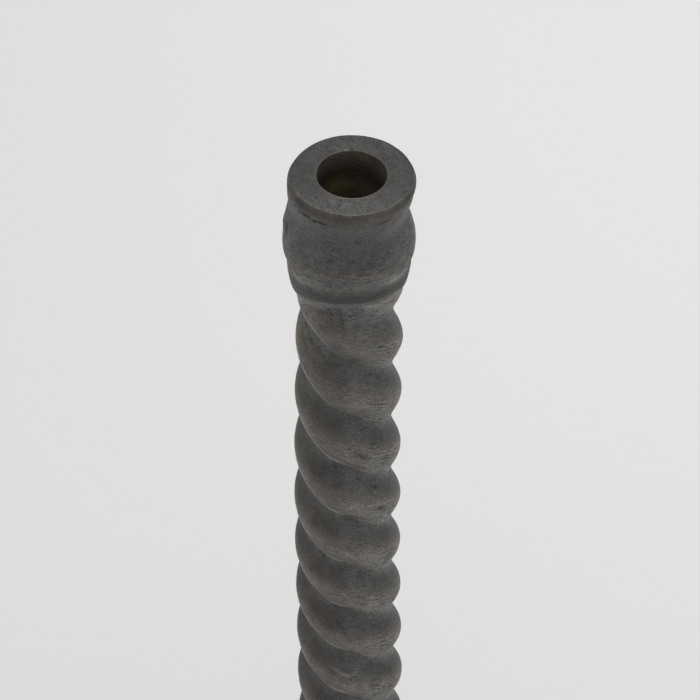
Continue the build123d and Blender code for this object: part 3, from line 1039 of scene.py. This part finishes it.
        # Unevenness, creases and pits
        spot = xyz(tree, radius * angle.cosine(), radius * angle.sine(), height)
        soft = cloud(tree, spot, 13 * MM, 2.0, seed + 1.0) - 0.5
        small = cloud(tree, spot, 4 * MM, 2.0, seed + 2.0) - 0.5
        radius = radius + (soft * 1.6 + small * 0.8) * size["Dent"]
        ledge = phase.lay("TANGENT").lay("ARCTANGENT") / (pi / 2)
        filed = ledge.between(-0.75, -0.35) * ledge.below(-0.1, 0.3)
        filed = filed * angle.towards(313, 0.86, 0.98)
        filed = filed * cloud(tree, spot, 16 * MM, 1.0, seed + 3.0).between(0.3, 0.55)
        creased = ledge.between(-0.9, -0.6) * ledge.below(0.05, 0.3)
        creased = creased * angle.towards(316, 0.88, 0.98)
        creased = creased * cloud(tree, spot, 9 * MM, 1.0, seed + 4.0).between(0.3, 0.6)
        radius = radius + (ledge * CREASE_RATE + soft * 24.0).sine() * creased * size["Ripple"]
        dips = []
        for place, width, deep in self.FLAWS:
            ends = {0: spot, 1: tuple(part * MM for part in place)}
            away = put(tree, "ShaderNodeVectorMath", {"operation": "DISTANCE"}, ends)
            away = Wire(tree, away.outputs["Value"])
            dips.append(away.below(0.2 * width * MM, width * MM))
            radius = radius - dips[-1] * (deep * MM)
        flawed = dips[0]
        for dip in dips[1:]:
            flawed = flawed.at_least(dip)
        radius = radius * cap
        # The column's bow
        bend = ((depth - size["Bow Start"]) * (2 * pi) / size["Bow Wave"]).sine() * size["Bow"]
        bend = (bend + size["Lean"]) * (above / self.SETTLE).at_most(1.0)
        place = xyz(tree, radius * angle.cosine() - bend, radius * angle.sine(), height)
        marks = self.marks(angle, depth, ledge, filed, flawed)
        marks.update({"filed": filed, "creased": creased, "ledge": ledge})
        shape = grid.outputs[0]
        for name, value in marks.items():
            painted = {"Geometry": shape, "Name": name, "Value": value}
            layer = {"data_type": "FLOAT", "domain": "POINT"}
            shape = put(tree, "GeometryNodeStoreNamedAttribute", layer, painted).outputs[0]
        steps = (
            ("GeometryNodeSetPosition", {"Position": place}),
            ("GeometryNodeMergeByDistance", {"Distance": self.WELD}),
            ("GeometryNodeSetShadeSmooth", {}),
            ("GeometryNodeRealizeInstances", {}),
            ("GeometryNodeSetMaterial", {"Material": given.outputs["Finish"]}),
        )
        for kind, inputs in steps:
            shape = put(tree, kind, (), {"Geometry": shape, **inputs}).outputs[0]
        result = tree.nodes.new("NodeGroupOutput")
        tree.links.new(shape, result.inputs[0])
        return tree

    def execute(self, context):
        s = context.scene.holder_stem
        values = {"Foot Height": COLLAR_Z, "Head Height": SEAT_Z}
        for name in StemSizes.__annotations__:
            values[name.replace("_", " ").title()] = getattr(s, name)
        values["Finish"] = material_named("aged_cast_metal", aged_metal)
        piece = add_piece("spiral_stem_casting", bpy.data.meshes.new("spiral_stem_casting"))
        grow = piece.modifiers.new("Twist", "NODES")
        grow.node_group = self.tree(values)
        for item in grow.node_group.interface.items_tree:
            if item.in_out == "INPUT":
                grow[item.identifier] = values[item.name]
        graph = context.evaluated_depsgraph_get()
        grown = bpy.data.meshes.new_from_object(
            piece.evaluated_get(graph), preserve_all_data_layers=True, depsgraph=graph
        )
        piece.modifiers.remove(grow)
        piece.data = grown
        if len(grown.polygons) < self.ROWS:
            raise RuntimeError("the stem's nodes gave no mesh")
        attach(piece, "root")
        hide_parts("spiral_stem")
        return {"FINISHED"}


class HOLDER_OT_foot(bpy.types.Operator):
    """Turn the round foot with its swept top and collar"""

    bl_idname = "candle_holder.foot"
    bl_label = "Foot"

    SEGMENTS = 224
    SWEEP_STEPS = 60
    # Degrees of the upper edge's rounding before the sweep begins
    EDGE_ARC = 78

    def outline(self, s):
        """Half section from below round the edge, up the sweep and over the collar."""
        low = FOOT_LOW.z
        top = FOOT_HIGH.z
        rim = FOOT_HIGH.x
        edge_top = low + s.edge_height
        sweep_top = edge_top + s.sweep_rise
        groove = (s.collar_radius - s.collar_groove, sweep_top + s.collar_groove / 2)
        collar_low = (s.collar_radius, sweep_top + s.collar_groove)
        collar_top = (s.collar_radius, collar_low[1] + s.collar_land)
        seat = (s.seat_radius, top)
        points = stretch((0.0, low), (rim - s.edge_bottom, low), 24)
        points += corner((rim - s.edge_bottom, low + s.edge_bottom), s.edge_bottom, -90, 0, 8)
        shoulder = (rim - s.edge_top, edge_top - s.edge_top)
        points += stretch((rim, low + s.edge_bottom), (rim, shoulder[1]), 8)
        points += corner(shoulder, s.edge_top, 0, self.EDGE_ARC, 12)
        start_r = shoulder[0] + s.edge_top * cos(radians(self.EDGE_ARC))
        start_z = shoulder[1] + s.edge_top * sin(radians(self.EDGE_ARC))
        for i in range(self.SWEEP_STEPS):
            t = i / self.SWEEP_STEPS
            climb = 0.25 * t + 0.75 * t**2.4
            points.append(
                (start_r - (start_r - s.collar_radius) * t, start_z + (sweep_top - start_z) * climb)
            )
        points += stretch((s.collar_radius, sweep_top), groove, 5)
        points += stretch(groove, collar_low, 5)
        points += stretch(collar_low, collar_top, 8)
        points += reversed(curl_down(collar_top, seat, 20))
        points += stretch(seat, (0.0, top), 10)
        points.append((0.0, top))
        return points

    def execute(self, context):
        s = context.scene.holder_foot

        def reshape(radius, height, angle):
            spot = around(angle, radius, height)
            free = FOOT_LOW.z + 0.2 * MM < height < FOOT_HIGH.z - 0.1 * MM
            push = s.dent * lumps(spot, 20 * MM, 5.0) + 0.5 * s.dent * lumps(spot, 6 * MM, 6.0)
            push = push * free
            reach = radius + push * (radius > s.collar_radius + 1 * MM) * 0.3 + push * 0.3
            return around(angle, reach, height + push)

        # Lighter at the outer edge and near the top
        def raised(radius, height, angle):
            return max(0.3, hill(radius, FOOT_HIGH.x, 6 * MM), hill(height, FOOT_HIGH.z - 4 * MM, 3 * MM))

        # Darker in the groove under the collar
        def sunk(radius, height, angle):
            return hill(radius, s.collar_radius, 2.5 * MM) * hill(height, FOOT_LOW.z + 19 * MM, 1.5 * MM)

        def worn(radius, height, angle):
            edge = hypot(radius - FOOT_HIGH.x, height - FOOT_LOW.z - s.edge_height + 1 * MM)
            return hill(edge, 0.0, 2.2 * MM)

        marks = {"raised": raised, "tanned": raised, "sunk": sunk, "worn": worn}
        piece = turned_piece("foot_casting", self.outline(s), self.SEGMENTS, reshape, marks)
        piece.data.materials.append(material_named("aged_cast_metal", aged_metal))
        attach(piece, "root")
        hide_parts("foot")
        return {"FINISHED"}


class HOLDER_OT_felt(bpy.types.Operator):
    """Cut the felt disc under the foot"""

    bl_idname = "candle_holder.felt"
    bl_label = "Felt pad"

    SEGMENTS = 224
    # Rounding of the edges, as a share of the felt's thickness
    EDGE_SHARE = 0.3
    FRAY = 0.12 * MM
    INSET = 0.1 * MM

    def execute(self, context):
        low, top, rim = FELT_LOW.z, FELT_HIGH.z, FELT_HIGH.x
        soft = (top - low) * self.EDGE_SHARE
        points = stretch((0.0, low), (rim - soft, low), 40)
        points += corner((rim - soft, low + soft), soft, -90, 0, 5)
        points += corner((rim - soft, top - soft), soft, 0, 90, 5)
        points += stretch((rim - soft, top), (0.0, top), 20)
        points.append((0.0, top))

        def reshape(radius, height, angle):
            spot = around(angle, radius, height)
            fray = self.FRAY * lumps(spot, 2.5 * MM, 7.0) * (radius > rim - 1.5 * soft)
            reach = radius + fray - self.INSET * (radius > rim - soft)
            return around(angle, reach, height)

        piece = turned_piece("felt_disc", points, self.SEGMENTS, reshape, {})
        piece.data.materials.append(material_named("wool_felt", wool_felt))
        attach(piece, "root")
        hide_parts("felt_pad")
        return {"FINISHED"}


class HOLDER_OT_fasteners(bpy.types.Operator):
    """Plate the stud, the bolt and its washers"""

    bl_idname = "candle_holder.fasteners"
    bl_label = "Fasteners"

    def execute(self, context):
        plate = material_named("zinc_plated_steel", zinc_plate)
        for name in ("head_stud", "foot_bolt", "plain_washer", "spring_washer"):
            piece = frame["nodes"][name]
            for slot in piece.material_slots:
                slot.material = plate
        return {"FINISHED"}


class HOLDER_OT_stage(bpy.types.Operator):
    """Set the floor, the lamps, the surroundings and the camera"""

    bl_idname = "candle_holder.stage"
    bl_label = "Stage"

    # Lamps: name, place in metres and watts
    LAMPS = (
        ("key", (0.5, 0.9, 1.5), 8.4),
        ("right", (1.5, -0.2, 0.7), 2.0),
        ("left", (-1.5, -0.2, 0.7), 1.2),
        ("front", (0.0, -1.6, 0.35), 1.0),
    )
    LAMP_WIDTH = 1.0
    LAMP_AIM = Vector((0.0, 0.0, 0.3))
    SENSOR_WIDTH = 36.0

    def lamp(self, name, place, watts):
        """A soft square lamp that shines from place at the holder's upper half."""
        data = bpy.data.lights.new(name, "AREA")
        data.energy = watts
        data.size = self.LAMP_WIDTH
        lamp = bpy.data.objects.new(name, data)
        lamp.location = place
        lamp.rotation_euler = (self.LAMP_AIM - Vector(place)).to_track_quat("-Z", "Y").to_euler()
        bpy.context.scene.collection.objects.link(lamp)

    def surroundings(self, scene):
        """A studio that lights with a bright ceiling over dim walls, and looks an even grey."""
        world = bpy.data.worlds.new("studio")
        world.use_nodes = True
        scene.world = world
        tree = world.node_tree
        tree.nodes.clear()
        way = put(tree, "ShaderNodeTexCoord").outputs["Generated"]
        _, _, z = parts_of(tree, way)
        level = z.between(0.35, 0.5) * 0.48 + z.between(0.8, 0.9) * 0.62
        light = put(tree, "ShaderNodeBackground", (), {"Color": (1, 1, 1, 1), "Strength": level})
        seen = put(tree, "ShaderNodeBackground", (), {"Color": (0.72, 0.72, 0.72, 1), "Strength": 1.0})
        path = tree.nodes.new("ShaderNodeLightPath")
        looked_at = Wire(tree, path.outputs["Is Camera Ray"])
        for kind in ("Is Glossy Ray", "Is Transmission Ray"):
            looked_at = looked_at.at_least(path.outputs[kind])
        choose = tree.nodes.new("ShaderNodeMixShader")
        feed(tree, choose.inputs[0], looked_at)
        tree.links.new(light.outputs[0], choose.inputs[1])
        tree.links.new(seen.outputs[0], choose.inputs[2])
        output = tree.nodes.new("ShaderNodeOutputWorld")
        tree.links.new(choose.outputs[0], output.inputs["Surface"])

    def execute(self, context):
        scene = context.scene
        s = scene.holder_stage
        half = s.floor_width / 2
        mesh = bpy.data.meshes.new("floor")
        corners = [(-half, -half, 0), (half, -half, 0), (half, half, 0), (-half, half, 0)]
        mesh.from_pydata(corners, [], [(0, 1, 2, 3)])
        floor = add_piece("floor", mesh)
        mesh.materials.append(material_named("pale_floor", pale_floor))
        for lamp in self.LAMPS:
            self.lamp(*lamp)
        self.surroundings(scene)
        camera = bpy.data.cameras.new("camera")
        camera.sensor_width = self.SENSOR_WIDTH
        camera.lens = s.lens
        eye = bpy.data.objects.new("camera", camera)
        eye.location = (s.camera_side, -s.camera_back, RIM_Z + s.camera_rise)
        eye.rotation_euler = (pi / 2 - s.camera_pitch, 0.0, 0.0)
        scene.collection.objects.link(eye)
        scene.camera = eye
        scene.view_settings.view_transform = "Standard"
        return {"FINISHED"}


class HOLDER_PT_panel(bpy.types.Panel):
    """Lists the pieces of the candle holder and their sizes"""

    bl_label = "Spiral candle holder"
    bl_idname = "HOLDER_PT_panel"
    bl_space_type = "VIEW_3D"
    bl_region_type = "UI"
    bl_category = "Candle Holder"

    def draw(self, context):
        for maker in PIECE_MAKERS:
            self.layout.operator(maker.bl_idname)
        for name, group in SETTINGS.items():
            box = self.layout.box()
            settings = getattr(context.scene, name)
            for prop in group.__annotations__:
                box.prop(settings, prop)


SETTINGS = {
    "holder_head": HeadSizes,
    "holder_stem": StemSizes,
    "holder_foot": FootSizes,
    "holder_colours": FinishColours,
    "holder_stage": StageSizes,
}
PIECE_MAKERS = (
    HOLDER_OT_candle_head,
    HOLDER_OT_spiral_stem,
    HOLDER_OT_foot,
    HOLDER_OT_felt,
    HOLDER_OT_fasteners,
    HOLDER_OT_stage,
)
CLASSES = (*SETTINGS.values(), *PIECE_MAKERS, HOLDER_PT_panel)


def register():
    for kind in CLASSES:
        bpy.utils.register_class(kind)
    for name, group in SETTINGS.items():
        setattr(bpy.types.Scene, name, bpy.props.PointerProperty(type=group))


def unregister():
    for name in SETTINGS:
        delattr(bpy.types.Scene, name)
    for kind in reversed(CLASSES):
        bpy.utils.unregister_class(kind)


def main():
    register()
    bpy.ops.candle_holder.candle_head()
    bpy.ops.candle_holder.spiral_stem()
    bpy.ops.candle_holder.foot()
    bpy.ops.candle_holder.felt()
    bpy.ops.candle_holder.fasteners()
    bpy.ops.candle_holder.stage()


if __name__ == "__main__":
    main()
